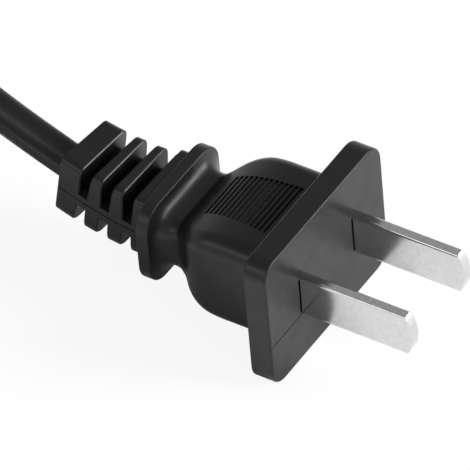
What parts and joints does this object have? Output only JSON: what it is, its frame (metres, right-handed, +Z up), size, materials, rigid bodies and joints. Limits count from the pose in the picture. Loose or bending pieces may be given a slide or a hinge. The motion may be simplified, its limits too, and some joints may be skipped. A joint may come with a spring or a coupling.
{
  "type": "mains plug lead",
  "caption": "Moulded black mains plug with flat blades, a waisted grip and a slotted strain relief, on a flat twin cord tied in a hank.",
  "frame": {"origin": "middle of the plug's front face, where it meets the socket", "axes": "+X out along the blades into the socket, +Y across the face, +Z up across the blades' width"},
  "size_m": [0.1934, 0.0369, 0.0206],
  "materials": {
    "moulded_black": "satin",
    "blade_nickel": "satin nickel plate",
    "cord_jacket": "satin soft plastic",
    "tie_plastic": "satin",
    "carrier_plastic": "matt",
    "copper": "bare stranded copper",
    "tinned_copper": "tinned"
  },
  "bodies": {
    "root": {"plug_body": "moulded_black", "blade_carrier": "carrier_plastic", "left_blade": "blade_nickel", "right_blade": "blade_nickel", "left_conductor": "copper", "right_conductor": "copper", "left_core": "cord_jacket", "right_core": "cord_jacket", "cord": "cord_jacket", "cord_hank": "cord_jacket", "hank_tie": "tie_plastic", "cord_tail": "cord_jacket", "left_leg": "cord_jacket", "right_leg": "cord_jacket", "left_end": "tinned_copper", "right_end": "tinned_copper"}
  },
  "joints": []
}
